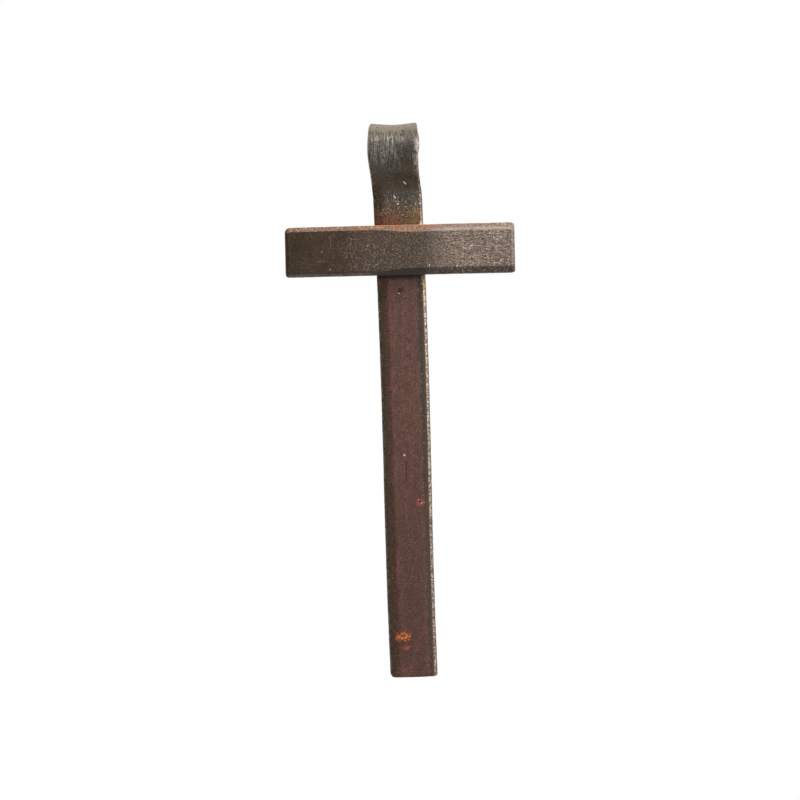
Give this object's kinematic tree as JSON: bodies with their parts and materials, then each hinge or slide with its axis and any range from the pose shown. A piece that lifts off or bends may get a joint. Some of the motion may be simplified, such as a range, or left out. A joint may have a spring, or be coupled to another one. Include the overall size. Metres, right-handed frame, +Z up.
{
  "type": "iron cross",
  "caption": "Hand-forged flat-bar iron cross with a rolled eye at the top to hang it by and a shorter bar across its front.",
  "frame": {"origin": "the highest point inside the eye, at the middle of its width, where a cord, ring or hook bears", "axes": "+Z up along the upright, +Y out of its back, +X to the right as seen from the front"},
  "size_m": [0.0905, 0.0261, 0.2187],
  "materials": {
    "upright_iron": "forged iron with a red-brown rust film, blackened and rubbed at the eye",
    "crossbar_iron": "forged iron, olive-brown and rubbed, with rusty chamfered edges"
  },
  "bodies": {
    "root": {"upright": "upright_iron", "crossbar": "crossbar_iron"}
  },
  "joints": []
}
